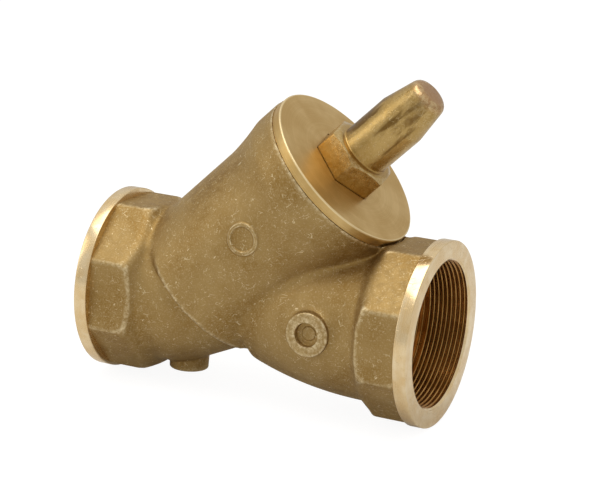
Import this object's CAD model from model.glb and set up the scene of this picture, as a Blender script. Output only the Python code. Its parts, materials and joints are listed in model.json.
"""The looks of a screwed brass Y strainer with a magnet rod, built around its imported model.

The run axis is X, from the inlet face at X = 0 to the outlet. The branch rises at 45 degrees from its
crossing with the run, and carries the screen, the gasket and the screwed cap. Every length is in metres,
written as a number of millimetres times MM.
"""

import json
import logging
import math
from collections.abc import Callable, Sequence
from dataclasses import dataclass, field
from enum import Enum

import bmesh
import bpy
import numpy as np
from mathutils import Matrix, Vector
from mathutils.kdtree import KDTree


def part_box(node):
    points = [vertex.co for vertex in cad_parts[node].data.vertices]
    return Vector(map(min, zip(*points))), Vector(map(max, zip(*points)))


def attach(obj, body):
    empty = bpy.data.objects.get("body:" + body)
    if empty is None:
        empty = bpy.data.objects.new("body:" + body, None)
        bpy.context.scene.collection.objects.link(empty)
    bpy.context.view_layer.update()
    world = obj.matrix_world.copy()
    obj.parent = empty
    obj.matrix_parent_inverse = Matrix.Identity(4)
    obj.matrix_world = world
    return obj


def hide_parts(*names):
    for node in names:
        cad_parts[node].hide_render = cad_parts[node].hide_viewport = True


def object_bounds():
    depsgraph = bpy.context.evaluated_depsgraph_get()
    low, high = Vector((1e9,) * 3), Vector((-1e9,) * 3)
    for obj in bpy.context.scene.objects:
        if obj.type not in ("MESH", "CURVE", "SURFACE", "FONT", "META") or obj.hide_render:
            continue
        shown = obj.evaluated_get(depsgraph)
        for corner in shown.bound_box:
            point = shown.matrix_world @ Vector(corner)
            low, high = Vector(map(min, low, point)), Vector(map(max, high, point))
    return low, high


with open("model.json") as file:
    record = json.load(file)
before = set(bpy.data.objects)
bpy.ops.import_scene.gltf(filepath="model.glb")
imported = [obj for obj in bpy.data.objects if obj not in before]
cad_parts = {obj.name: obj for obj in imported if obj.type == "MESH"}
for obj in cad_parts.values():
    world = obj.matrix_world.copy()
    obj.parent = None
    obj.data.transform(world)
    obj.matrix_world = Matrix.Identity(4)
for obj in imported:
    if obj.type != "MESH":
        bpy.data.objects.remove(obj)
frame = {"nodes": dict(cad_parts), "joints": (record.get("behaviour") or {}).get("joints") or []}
CAD_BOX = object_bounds()

MM = 0.001
TURN = 2 * math.pi
WELD = 0.001 * MM
PIPE_PITCH = 25.4 * MM / 11
PIPE_THREAD_DEPTH = 1.05 * MM
WEAR = "wear"

# Faces around a full turn, by the size of the piece.
SMALL_STEPS = 64
ROUND_STEPS = 96
RING_STEPS = 128
WIDE_STEPS = 160

# One turn of thread as (share of the pitch, share of the depth).
THREAD_WAVE = (
    (0.0, 0.0),
    (0.08, 0.05),
    (0.33, 0.92),
    (0.38, 1.0),
    (0.62, 1.0),
    (0.67, 0.92),
    (0.92, 0.05),
    (1.0, 0.0),
)

log = logging.getLogger("strainer")

Colour = tuple[float, float, float]
Corner = tuple[float, float, float]
Profile = list[tuple[float, float]]
Band = tuple[float, float]


# Axes and shapes


@dataclass(frozen=True)
class Axis:
    """A line that pieces are turned about. Its place puts local Z along the line."""

    place: Matrix

    def local(self, point: Vector) -> Vector:
        """Gives a point's place beside the line, with its height as Z.

        Args:
            point: The point in the row frame.

        Returns:
            The place.
        """
        return self.place.inverted() @ point


def branch_axis() -> Axis:
    """Reads the branch's line from the joint that the cap turns on.

    Returns:
        The axis, whose heights count from the crossing with the run.
    """
    joint = next(joint for joint in frame["joints"] if joint["name"] == "cap_turn")
    tilt = Vector((0, 0, 1)).rotation_difference(Vector(joint["axis"])).to_matrix().to_4x4()
    return Axis(Matrix.Translation(joint["pos_m"]) @ tilt)


RUN = Axis(Matrix.Rotation(math.pi / 2, 4, "Y"))
BRANCH = branch_axis()


class Cut(Enum):
    """The ways in which one solid changes another."""

    JOIN = "UNION"
    REMOVE = "DIFFERENCE"
    KEEP = "INTERSECT"


def rounded(corners: Sequence[Corner], closed: bool = False, pieces: int = 4) -> Profile:
    """Draws a profile through corners, each rounded by an arc of its own.

    Args:
        corners: The (radius, height, rounding) of each corner, in order.
        closed: Whether the last corner joins the first.
        pieces: The straight pieces of each arc.

    Returns:
        The (radius, height) points of the profile.
    """
    points: Profile = []
    count = len(corners)
    for i, (x, y, rounding) in enumerate(corners):
        if not rounding or (not closed and i in (0, count - 1)):
            points.append((x, y))
            continue
        here = Vector((x, y, 0))
        back = (Vector((*corners[i - 1][:2], 0)) - here).normalized()
        ahead = (Vector((*corners[(i + 1) % count][:2], 0)) - here).normalized()
        half = back.angle(ahead) / 2
        centre = here + (back + ahead).normalized() * (rounding / math.sin(half))
        start = (here + back * (rounding / math.tan(half)) - centre).normalized()
        end = (here + ahead * (rounding / math.tan(half)) - centre).normalized()
        for step in range(pieces + 1):
            place = centre + start.slerp(end, step / pieces) * rounding
            points.append((place.x, place.y))
    return points


def turned(profile: Profile, steps: int, closed: bool = False) -> bmesh.types.BMesh:
    """Turns a profile about local Z into a closed solid.

    Args:
        profile: The (radius, height) points.
        steps: The faces around the full turn.
        closed: Whether the last point joins the first, as in a ring's section.

    Returns:
        The new shape, facing out.
    """
    shape = bmesh.new()
    verts = [shape.verts.new((radius, 0, height)) for radius, height in profile]
    pairs = list(zip(verts, verts[1:])) + ([(verts[-1], verts[0])] if closed else [])
    edges = [shape.edges.new(pair) for pair in pairs]
    bmesh.ops.spin(
        shape, geom=verts + edges, cent=(0, 0, 0), axis=(0, 0, 1), angle=TURN, steps=steps, use_merge=True
    )
    bmesh.ops.remove_doubles(shape, verts=shape.verts, dist=WELD)
    bmesh.ops.recalc_face_normals(shape, faces=shape.faces)
    return shape


def prism(sides: int, across_flats: float, low: float, high: float, turn: float) -> bmesh.types.BMesh:
    """Makes a bar with flat sides along local Z.

    Args:
        sides: The number of flats.
        across_flats: The distance between opposite flats.
        low: The height of the lower end.
        high: The height of the upper end.
        turn: The angle by which its corners are turned about local Z.

    Returns:
        The new shape, facing out.
    """
    shape = bmesh.new()
    corner = across_flats / 2 / math.cos(math.pi / sides)
    place = Matrix.Translation((0, 0, (low + high) / 2)) @ Matrix.Rotation(turn, 4, "Z")
    bmesh.ops.create_cone(
        shape, cap_ends=True, segments=sides, radius1=corner, radius2=corner, depth=high - low, matrix=place
    )
    return shape


def threaded(
    root: float, depth: float, pitch: float, low: float, high: float, steps: int
) -> bmesh.types.BMesh:
    """Makes a round bar with a right-handed thread, cut off square at both ends.

    Args:
        root: The radius of the thread's outermost points.
        depth: The height of the thread.
        pitch: The rise of one turn.
        low: The height of the lower end.
        high: The height of the upper end.
        steps: The faces around one turn.

    Returns:
        The new shape, facing out.
    """
    shape = bmesh.new()
    start = low - 1.5 * pitch
    turns = math.ceil((high - low) / pitch) + 2
    verts = [shape.verts.new((root - depth * sink, 0, start + pitch * share)) for share, sink in THREAD_WAVE]
    edges = [shape.edges.new(pair) for pair in zip(verts, verts[1:])]
    bmesh.ops.spin(
        shape,
        geom=verts + edges,
        cent=(0, 0, 0),
        axis=(0, 0, 1),
        dvec=(0, 0, pitch / steps),
        angle=TURN * turns,
        steps=steps * turns,
        use_merge=False,
    )
    bmesh.ops.remove_doubles(shape, verts=shape.verts, dist=WELD)
    for height, side in ((low, -1), (high, 1)):
        every = [*shape.verts, *shape.edges, *shape.faces]
        cut = bmesh.ops.bisect_plane(
            shape, geom=every, plane_co=(0, 0, height), plane_no=(0, 0, side), clear_outer=True, dist=WELD
        )
        rim = [item for item in cut["geom_cut"] if isinstance(item, bmesh.types.BMEdge)]
        bmesh.ops.edgeloop_fill(shape, edges=rim)
    bmesh.ops.recalc_face_normals(shape, faces=shape.faces)
    return shape


def placed(shape: bmesh.types.BMesh, place: Matrix) -> bmesh.types.BMesh:
    """Moves a shape by a matrix, and gives it back.

    Args:
        shape: The shape.
        place: The matrix.

    Returns:
        The same shape.
    """
    bmesh.ops.transform(shape, matrix=place, verts=shape.verts)
    return shape


def scratch_object(shape: bmesh.types.BMesh) -> bpy.types.Object:
    """Puts a shape in an object of the scene for a modifier to work on, and frees the shape.

    Args:
        shape: The shape.

    Returns:
        The object.
    """
    mesh = bpy.data.meshes.new("scratch")
    shape.to_mesh(mesh)
    shape.free()
    obj = bpy.data.objects.new("scratch", mesh)
    bpy.context.scene.collection.objects.link(obj)
    return obj


def evaluated(obj: bpy.types.Object, helpers: Sequence[bpy.types.Object] = ()) -> bmesh.types.BMesh:
    """Applies an object's modifiers and removes it with its helpers.

    Args:
        obj: The object with the modifiers.
        helpers: Objects that its modifiers use.

    Returns:
        The resulting shape.
    """
    mesh = bpy.data.meshes.new_from_object(obj.evaluated_get(bpy.context.evaluated_depsgraph_get()))
    shape = bmesh.new()
    shape.from_mesh(mesh)
    bpy.data.meshes.remove(mesh)
    for used in (obj, *helpers):
        used_mesh = used.data
        bpy.data.objects.remove(used)
        bpy.data.meshes.remove(used_mesh)
    return shape


def combined(shape: bmesh.types.BMesh, *changes: tuple[Cut, bmesh.types.BMesh]) -> bmesh.types.BMesh:
    """Joins solids to a shape, or cuts them from it, in order.

    Args:
        shape: The solid to start from.
        changes: Each change and the solid it uses.

    Returns:
        The resulting shape.
    """
    obj = scratch_object(shape)
    helpers = []
    for cut, other in changes:
        helper = scratch_object(other)
        modifier = obj.modifiers.new(cut.name, "BOOLEAN")
        modifier.operation = cut.value
        modifier.solver = "MANIFOLD"
        modifier.object = helper
        helpers.append(helper)
    return evaluated(obj, helpers)


def gathered(*shapes: bmesh.types.BMesh) -> bmesh.types.BMesh:
    """Puts several shapes in one, as they are, and frees them.

    Args:
        shapes: The shapes.

    Returns:
        The new shape.
    """
    whole = bmesh.new()
    for shape in shapes:
        mesh = bpy.data.meshes.new("scratch")
        shape.to_mesh(mesh)
        shape.free()
        whole.from_mesh(mesh)
        bpy.data.meshes.remove(mesh)
    return whole


def smoothed(shape: bmesh.types.BMesh, verts: Sequence[bmesh.types.BMVert], passes: int) -> None:
    """Moves points half of the way towards the middle of their neighbours.

    Args:
        shape: The shape that they belong to.
        verts: The points.
        passes: How many times it is done.
    """
    for _ in range(passes):
        bmesh.ops.smooth_vert(
            shape, verts=verts, factor=0.5, use_axis_x=True, use_axis_y=True, use_axis_z=True
        )


def finished(
    shape: bmesh.types.BMesh,
    name: str,
    body: str,
    finishes: Sequence["Finish"],
    replaces: Sequence[str] = (),
    paint: Callable[[Vector], int] | None = None,
    sharp: float = 32.0,
) -> bpy.types.Object:
    """Makes a shape a piece of the object, dressed and riding on its body.

    Args:
        shape: The shape, in the row frame. It is freed.
        name: The piece's name.
        body: The CAD body that it rides on.
        finishes: The finishes that its faces use.
        replaces: The CAD nodes that it stands for.
        paint: Gives the number of a face's finish from the face's middle.
        sharp: The angle in degrees past which an edge is drawn sharp.

    Returns:
        The new object.
    """
    if paint:
        for face in shape.faces:
            face.material_index = paint(face.calc_center_median())
    mesh = bpy.data.meshes.new(name)
    shape.to_mesh(mesh)
    shape.free()
    mesh.shade_smooth()
    mesh.set_sharp_from_angle(angle=math.radians(sharp))
    for finish in finishes:
        mesh.materials.append(finish.material())
    obj = bpy.data.objects.new(name, mesh)
    bpy.context.scene.collection.objects.link(obj)
    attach(obj, body)
    if replaces:
        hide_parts(*replaces)
    log.info("%s: %d faces on %s", name, len(mesh.polygons), body)
    return obj


# Finishes


class Graph:
    """Lays the nodes of one material, each call adding one and giving its output."""

    def __init__(self, name: str) -> None:
        """Starts an empty material.

        Args:
            name: The material's name.
        """
        self.material = bpy.data.materials.new(name)
        self.material.use_nodes = True
        self.nodes = self.material.node_tree.nodes
        self.links = self.material.node_tree.links
        self.shader = self.nodes["Principled BSDF"]
        self.coordinates = self.node("ShaderNodeTexCoord").outputs["Object"]

    def node(self, kind: str, inputs: dict | None = None, **settings: object) -> bpy.types.Node:
        """Adds a node.

        Args:
            kind: The node's type.
            inputs: Values or sockets for its inputs, by name or number.
            settings: Its properties.

        Returns:
            The node.
        """
        node = self.nodes.new(kind)
        for key, value in settings.items():
            setattr(node, key, value)
        for key, value in (inputs or {}).items():
            self.put(node.inputs[key], value)
        return node

    def put(self, socket: bpy.types.NodeSocket, value: object) -> None:
        """Links a socket to an output, or sets its value.

        Args:
            socket: The socket.
            value: The output or the value.
        """
        if isinstance(value, bpy.types.NodeSocket):
            self.links.new(value, socket)
        else:
            socket.default_value = value

    def beside(self, axis: Axis) -> bpy.types.NodeSocket:
        """Gives coordinates with Z along an axis.

        Args:
            axis: The axis.

        Returns:
            The output.
        """
        back = axis.place.inverted()
        return self.node(
            "ShaderNodeMapping",
            {"Vector": self.coordinates, "Location": back.translation, "Rotation": back.to_euler()},
        ).outputs[0]

    def stretched(
        self, vector: bpy.types.NodeSocket, scale: Colour, turn: Colour = (0, 0, 0)
    ) -> bpy.types.NodeSocket:
        """Gives coordinates scaled along three directions after a turn.

        Args:
            vector: The coordinates.
            scale: The scale in each direction.
            turn: The turn about each axis, in radians.

        Returns:
            The output.
        """
        turned_first = self.node("ShaderNodeMapping", {"Vector": vector, "Rotation": turn}).outputs[0]
        return self.node("ShaderNodeMapping", {"Vector": turned_first, "Scale": scale}).outputs[0]

    def noise(
        self,
        size: float,
        detail: float = 2.0,
        rough: float = 0.5,
        bend: float = 0.0,
        vector: bpy.types.NodeSocket | None = None,
    ) -> bpy.types.NodeSocket:
        """Adds soft noise whose patches are about a size across.

        Args:
            size: The size of a patch.
            detail: The number of finer layers.
            rough: The strength of the finer layers.
            bend: How much the patches are distorted.
            vector: The coordinates, or the object's own.

        Returns:
            The noise, around 0.5.
        """
        inputs = {
            "Vector": vector or self.coordinates,
            "Scale": 1 / size,
            "Detail": detail,
            "Roughness": rough,
            "Distortion": bend,
        }
        return self.node("ShaderNodeTexNoise", inputs).outputs["Fac"]

    def cells(
        self, size: float, feature: str = "F1", vector: bpy.types.NodeSocket | None = None
    ) -> bpy.types.NodeSocket:
        """Adds cells about a size across, and gives the distance in them.

        Args:
            size: The size of a cell.
            feature: Which distance is measured.
            vector: The coordinates, or the object's own.

        Returns:
            The output.
        """
        inputs = {"Vector": vector or self.coordinates, "Scale": 1 / size}
        return self.node("ShaderNodeTexVoronoi", inputs, feature=feature).outputs["Distance"]

    def sum(self, operation: str, a: object, b: object = 0.0) -> bpy.types.NodeSocket:
        """Does one sum on two values or sockets.

        Args:
            operation: The kind of sum.
            a: The first value.
            b: The second value.

        Returns:
            The output.
        """
        return self.node("ShaderNodeMath", {0: a, 1: b}, operation=operation).outputs[0]

    def between(
        self, value: bpy.types.NodeSocket, low: float, high: float, start: float = 0.0, end: float = 1.0
    ) -> bpy.types.NodeSocket:
        """Carries a value from one range to another, smoothly and within its ends.

        Args:
            value: The value.
            low: The start of its range.
            high: The end of its range.
            start: What the start becomes.
            end: What the end becomes.

        Returns:
            The output.
        """
        inputs = {"Value": value, "From Min": low, "From Max": high, "To Min": start, "To Max": end}
        return self.node("ShaderNodeMapRange", inputs, interpolation_type="SMOOTHSTEP").outputs[0]

    def blend(self, share: object, a: object, b: object) -> bpy.types.NodeSocket:
        """Mixes two colours.

        Args:
            share: The share of the second.
            a: The first colour.
            b: The second colour.

        Returns:
            The output.
        """
        paint = [(*c, 1.0) if isinstance(c, tuple) else c for c in (a, b)]
        return self.node("ShaderNodeMix", {0: share, 6: paint[0], 7: paint[1]}, data_type="RGBA").outputs[2]

    def round_lines(self, axis: Axis) -> bpy.types.NodeSocket:
        """Gives a length that grows outwards and along an axis, for the marks of a turning tool.

        Args:
            axis: The axis.

        Returns:
            The output.
        """
        beside = self.beside(axis)
        split = self.node("ShaderNodeSeparateXYZ", {0: beside}).outputs
        flat = self.node("ShaderNodeCombineXYZ", {0: split[0], 1: split[1]}).outputs[0]
        out = self.node("ShaderNodeVectorMath", {0: flat}, operation="LENGTH").outputs["Value"]
        return self.sum("ADD", out, split[2])

    def line_noise(
        self, length: bpy.types.NodeSocket, size: float, detail: float = 2.0
    ) -> bpy.types.NodeSocket:
        """Adds noise that changes along one length only.

        Args:
            length: The length.
            size: The size of a step.
            detail: The number of finer layers.

        Returns:
            The output.
        """
        inputs = {"W": length, "Scale": 1 / size, "Detail": detail}
        return self.node("ShaderNodeTexNoise", inputs, noise_dimensions="1D").outputs["Fac"]

    def bump(
        self, height: bpy.types.NodeSocket, distance: float, under: bpy.types.NodeSocket | None = None
    ) -> bpy.types.NodeSocket:
        """Adds relief of a height in metres, over another relief if one is given.

        Args:
            height: The relief's pattern.
            distance: The height of its tops.
            under: The relief under it.

        Returns:
            The output.
        """
        node = self.node("ShaderNodeBump", {"Height": height, "Distance": distance, "Strength": 1.0})
        if under:
            self.links.new(under, node.inputs["Normal"])
        return node.outputs[0]

    def attribute(self, name: str) -> bpy.types.NodeSocket:
        """Reads one of the piece's own attributes.

        Args:
            name: The attribute's name.

        Returns:
            The output.
        """
        return self.node("ShaderNodeAttribute", attribute_name=name).outputs["Fac"]

    def dress(
        self,
        colour: object,
        roughness: object,
        metallic: float,
        normal: bpy.types.NodeSocket | None = None,
        **more: object,
    ) -> bpy.types.Material:
        """Sets the shader.

        Args:
            colour: The base colour.
            roughness: The roughness.
            metallic: The metallic value.
            normal: The relief.
            more: Other inputs of the shader, with underscores for spaces.

        Returns:
            The material.
        """
        self.put(self.shader.inputs["Base Color"], (*colour, 1.0) if isinstance(colour, tuple) else colour)
        self.put(self.shader.inputs["Roughness"], roughness)
        self.shader.inputs["Metallic"].default_value = metallic
        if normal:
            self.links.new(normal, self.shader.inputs["Normal"])
        for key, value in more.items():
            self.put(self.shader.inputs[key.replace("_", " ")], value)
        return self.material


@dataclass(frozen=True)
class Finish:
    """A finish by name. Its material is made once and shared."""

    name: str

    def material(self) -> bpy.types.Material:
        """Gives the finish's material, made on the first call.

        Returns:
            The material.
        """
        return bpy.data.materials.get(self.name) or self.made()

    def made(self) -> bpy.types.Material:
        """Makes the material.

        Returns:
            The material.
        """
        raise NotImplementedError


@dataclass(frozen=True)
class Forged(Finish):
    """A blasted forging: dull, grainy, mottled, and pale where it has been knocked and rubbed."""

    tone: Colour = (0.405, 0.272, 0.104)
    deep: Colour = (0.305, 0.185, 0.055)
    light: Colour = (0.56, 0.42, 0.22)
    scuffed: Colour = (0.80, 0.67, 0.42)
    grain: float = 0.75 * MM
    grain_height: float = 0.085 * MM
    rough: float = 0.56
    marked: float = 0.72
    cloud_size: float = 26 * MM
    cloud_band: Band = (0.36, 0.66)
    mottle_size: float = 3.2 * MM
    mottle_band: Band = (0.34, 0.68)
    mottle_share: float = 0.75
    speckle_size: float = 0.8 * MM
    speckle_band: Band = (0.50, 0.70)
    speckle_share: float = 0.55
    edge_band: Band = (0.07, 0.28)
    hollow_band: Band = (-0.06, -0.30)
    hollow_share: float = 0.45
    streaked: float = 0.0
    streak: Colour = (0.17, 0.090, 0.020)
    tip: float = 0.0
    tip_tone: Colour = (0.42, 0.235, 0.105)

    def made(self) -> bpy.types.Material:
        """Makes the material.

        Returns:
            The material.
        """
        g = Graph(self.name)
        clouds = g.between(g.noise(self.cloud_size, 3), *self.cloud_band)
        mottle = g.between(g.noise(self.mottle_size, 3, 0.6), *self.mottle_band)
        speckle = g.between(g.noise(self.speckle_size, 2, 0.7), *self.speckle_band)
        colour = g.blend(clouds, self.deep, self.tone)
        colour = g.blend(g.sum("MULTIPLY", mottle, self.mottle_share), colour, self.tone)
        colour = g.blend(g.sum("MULTIPLY", speckle, self.speckle_share), colour, self.light)

        wear = g.attribute(WEAR)
        patchy = g.between(g.noise(2.2 * MM, 4, 0.7), 0.40, 0.62)
        edges = g.sum(
            "MULTIPLY",
            g.between(wear, *self.edge_band),
            g.sum("ADD", g.sum("MULTIPLY", patchy, 0.85), 0.15),
        )
        scratches = self.scratches(g)
        flecks = g.sum(
            "MULTIPLY",
            g.between(g.noise(1.7 * MM, 3, 0.75, 1.0), 0.62, 0.69),
            g.between(g.noise(13 * MM, 2), 0.49, 0.60),
        )
        marks = g.sum("MAXIMUM", g.sum("MAXIMUM", scratches, flecks), edges)
        if self.streaked:
            colour = self.drawn(g, colour)
        colour = g.blend(g.sum("MULTIPLY", marks, self.marked), colour, self.scuffed)
        hollows = g.between(wear, *self.hollow_band)
        colour = g.blend(g.sum("MULTIPLY", hollows, self.hollow_share), colour, self.deep)

        roughness = g.sum("ADD", g.between(mottle, 0, 1, -0.04, 0.05), self.rough)
        roughness = g.sum("SUBTRACT", roughness, g.sum("MULTIPLY", marks, 0.13))
        relief = g.bump(g.noise(4.5 * MM, 2), 0.16 * MM)
        relief = g.bump(g.noise(self.grain, 3, 0.65), self.grain_height, relief)
        relief = g.bump(g.sum("MULTIPLY", scratches, -1.0), 0.03 * MM, relief)
        return g.dress(colour, roughness, 1.0, relief)

    def drawn(self, g: Graph, colour: bpy.types.NodeSocket) -> bpy.types.NodeSocket:
        """Adds dark streaks along the branch and a reddish end.

        Args:
            g: The material's nodes.
            colour: The colour to start from.

        Returns:
            The new colour.
        """
        beside = g.beside(BRANCH)
        long = g.stretched(beside, (1.0, 1.0, 0.22))
        streaks = g.between(g.noise(7.5 * MM, 3, 0.6, 0.3, long), 0.46, 0.62)
        colour = g.blend(g.sum("MULTIPLY", streaks, self.streaked), colour, self.streak)
        height = g.node("ShaderNodeSeparateXYZ", {0: beside}).outputs[2]
        return g.blend(g.between(height, self.tip - 2 * MM, self.tip + 2.5 * MM), colour, self.tip_tone)

    def scratches(self, g: Graph) -> bpy.types.NodeSocket:
        """Adds short thin marks in three directions, in patches.

        Args:
            g: The material's nodes.

        Returns:
            The share of mark at each point.
        """
        whole = None
        for number, turn in enumerate(((0.4, 0.7, 0.2), (1.3, -0.5, 0.9), (-0.6, 1.8, -1.1))):
            where = g.stretched(g.coordinates, (1.0, 1.0, 0.45), turn)
            line = g.between(g.cells((2.3 + 0.6 * number) * MM, "DISTANCE_TO_EDGE", where), 0.026, 0.010)
            spread = g.between(g.noise((2.7 + 0.6 * number) * MM, 2, 0.6, 0.5), 0.60, 0.66)
            patch = g.sum("MULTIPLY", line, spread)
            whole = patch if whole is None else g.sum("MAXIMUM", whole, patch)
        return whole


@dataclass(frozen=True)
class Turned(Finish):
    """Metal with the round marks of a lathe tool about an axis."""

    axis: Axis = RUN
    tone: Colour = (0.86, 0.69, 0.43)
    deep: Colour = (0.76, 0.55, 0.28)
    rough: float = 0.20
    step: float = 0.22 * MM
    height: float = 0.004 * MM
    dents: float = 0.0
    worn: float = 0.0
    edge_at: float = 0.0
    rubbed: Colour = (0.93, 0.82, 0.60)
    metallic: float = 1.0
    patch: float = 9 * MM

    def made(self) -> bpy.types.Material:
        """Makes the material.

        Returns:
            The material.
        """
        g = Graph(self.name)
        length = g.round_lines(self.axis)
        fine = g.line_noise(length, self.step, 3)
        broad = g.line_noise(length, 14 * self.step, 2)
        clouds = g.between(g.noise(self.patch, 3, 0.6), 0.35, 0.68)
        colour = g.blend(clouds, self.deep, self.tone)
        colour = g.blend(g.sum("MULTIPLY", g.between(broad, 0.4, 0.65), 0.35), colour, self.deep)
        colour = g.blend(g.sum("MULTIPLY", g.between(fine, 0.50, 0.75), 0.25), colour, self.rubbed)
        if self.worn:
            edges = g.between(length, self.edge_at - 1.0 * MM, self.edge_at - 0.45 * MM)
            colour = g.blend(g.sum("MULTIPLY", edges, self.worn), colour, self.rubbed)
        relief = g.bump(fine, self.height)
        roughness = g.sum(
            "ADD",
            g.between(fine, 0.3, 0.7, -0.03, 0.05),
            g.between(clouds, 0, 1, self.rough + 0.04, self.rough - 0.02),
        )
        if self.dents:
            pits = g.sum(
                "MULTIPLY",
                g.between(g.cells(2.6 * MM), 0.13, 0.05),
                g.between(g.noise(6 * MM, 1), 0.52, 0.60),
            )
            drawn_out = g.stretched(g.coordinates, (1, 0.22, 1), (0.5, 0.3, 0.9))
            nicks = g.between(g.cells(3.1 * MM, "DISTANCE_TO_EDGE", drawn_out), 0.022, 0.006)
            nicks = g.sum("MULTIPLY", nicks, g.between(g.noise(4 * MM, 2), 0.58, 0.64))
            marks = g.sum("MAXIMUM", pits, nicks)
            colour = g.blend(g.sum("MULTIPLY", marks, 0.5 * self.dents), colour, self.deep)
            relief = g.bump(g.sum("MULTIPLY", marks, -1.0), 0.05 * MM * self.dents, relief)
            roughness = g.sum("ADD", roughness, g.sum("MULTIPLY", marks, 0.12))
        return g.dress(colour, roughness, self.metallic, relief)


@dataclass(frozen=True)
class Compressed(Finish):
    """Fibre or moulded rubber: matt, with small grain and pressed fibres."""

    tone: Colour = (0.10, 0.24, 0.16)
    light: Colour = (0.22, 0.38, 0.28)
    grain: float = 0.5 * MM
    rough: float = 0.78

    def made(self) -> bpy.types.Material:
        """Makes the material.

        Returns:
            The material.
        """
        g = Graph(self.name)
        drawn_out = g.stretched(g.coordinates, (1, 0.25, 1), (0.4, 0.2, 0.7))
        fibres = g.noise(self.grain * 2, 4, 0.7, 1.2, drawn_out)
        colour = g.blend(g.between(fibres, 0.45, 0.7), self.tone, self.light)
        relief = g.bump(g.noise(self.grain, 4, 0.7), 0.05 * MM)
        return g.dress(colour, g.between(fibres, 0.3, 0.7, self.rough - 0.08, self.rough + 0.08), 0.0, relief)


@dataclass(frozen=True)
class Woven(Finish):
    """Fine wire cloth, woven one over one, on the piece's own UV map in wires."""

    wire: Colour = (0.58, 0.58, 0.56)
    gap: Colour = (0.05, 0.05, 0.05)

    def made(self) -> bpy.types.Material:
        """Makes the material.

        Returns:
            The material.
        """
        g = Graph(self.name)
        uv = g.node("ShaderNodeTexCoord").outputs["UV"]
        split = g.node("ShaderNodeSeparateXYZ", {0: uv}).outputs
        across = g.sum("ABSOLUTE", g.sum("SINE", g.sum("MULTIPLY", split[0], math.pi)))
        along = g.sum("ABSOLUTE", g.sum("SINE", g.sum("MULTIPLY", split[1], math.pi)))
        checks = g.node("ShaderNodeTexChecker", {"Vector": uv, "Scale": 1.0}).outputs["Fac"]
        over = g.node("ShaderNodeMix", {0: checks, 2: across, 3: along}, data_type="FLOAT").outputs[0]
        under = g.sum("MULTIPLY", g.sum("MAXIMUM", across, along), 0.6)
        height = g.sum("MAXIMUM", over, under)
        colour = g.blend(g.between(height, 0.45, 0.75), self.gap, self.wire)
        return g.dress(colour, g.between(height, 0.4, 0.9, 0.65, 0.30), 1.0, g.bump(height, 0.12 * MM))


FORGED = Forged("blasted_brass")
RING_BRASS = Turned("machined_brass", dents=1.0)
THREAD_BRASS = Turned(
    "thread_brass",
    tone=(0.56, 0.310, 0.098),
    deep=(0.38, 0.185, 0.045),
    rubbed=(0.74, 0.49, 0.20),
    rough=0.24,
)
BORE_BRASS = Turned(
    "bored_brass",
    tone=(0.34, 0.20, 0.07),
    deep=(0.24, 0.12, 0.035),
    rubbed=(0.45, 0.28, 0.11),
    rough=0.36,
)
CAP_BRASS = Turned(
    "cap_brass",
    axis=BRANCH,
    tone=(0.65, 0.450, 0.185),
    deep=(0.54, 0.350, 0.120),
    rubbed=(0.88, 0.72, 0.42),
    rough=0.38,
    worn=0.8,
    edge_at=151.1 * MM,
    step=0.30 * MM,
    height=0.006 * MM,
    patch=22 * MM,
)
CAP_THREAD = Turned(
    "cap_thread_brass",
    axis=BRANCH,
    tone=(0.62, 0.42, 0.17),
    deep=(0.46, 0.27, 0.08),
    rubbed=(0.80, 0.62, 0.34),
)
HEXAGON_BRASS = Forged(
    "hexagon_brass",
    tone=(0.50, 0.335, 0.120),
    deep=(0.38, 0.225, 0.060),
    light=(0.60, 0.44, 0.20),
    scuffed=(0.78, 0.62, 0.36),
    grain=0.55 * MM,
    grain_height=0.022 * MM,
    rough=0.34,
    marked=0.45,
)
NOSE_BRASS = Forged(
    "nose_brass",
    tone=(0.50, 0.335, 0.120),
    deep=(0.36, 0.215, 0.055),
    light=(0.60, 0.44, 0.20),
    scuffed=(0.80, 0.64, 0.36),
    grain=0.9 * MM,
    grain_height=0.05 * MM,
    rough=0.33,
    marked=0.5,
    streaked=0.9,
    tip=163.0 * MM,
)
SHEET_STEEL = Turned(
    "rolled_steel",
    axis=BRANCH,
    tone=(0.62, 0.62, 0.60),
    deep=(0.50, 0.50, 0.49),
    rubbed=(0.76, 0.76, 0.74),
    rough=0.30,
)
TUBE_STEEL = Turned(
    "polished_steel",
    axis=BRANCH,
    tone=(0.68, 0.68, 0.67),
    deep=(0.58, 0.58, 0.57),
    rubbed=(0.8, 0.8, 0.79),
    rough=0.18,
)
NICKEL = Turned(
    "bright_nickel",
    axis=BRANCH,
    tone=(0.70, 0.68, 0.63),
    deep=(0.60, 0.57, 0.52),
    rubbed=(0.8, 0.78, 0.74),
    rough=0.16,
)
SOFT_IRON = Turned(
    "dull_iron",
    axis=BRANCH,
    tone=(0.34, 0.34, 0.35),
    deep=(0.24, 0.23, 0.23),
    rubbed=(0.5, 0.5, 0.5),
    rough=0.40,
)
ALUMINIUM = Turned(
    "drawn_aluminium",
    axis=BRANCH,
    tone=(0.78, 0.79, 0.80),
    deep=(0.66, 0.67, 0.68),
    rubbed=(0.86, 0.86, 0.87),
    rough=0.33,
)
FIBRE = Compressed("fibre")
RUBBER = Compressed("moulded_rubber", tone=(0.022, 0.022, 0.022), light=(0.05, 0.05, 0.05), rough=0.6)
WIRE_CLOTH = Woven("wire_cloth")


# The body


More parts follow.
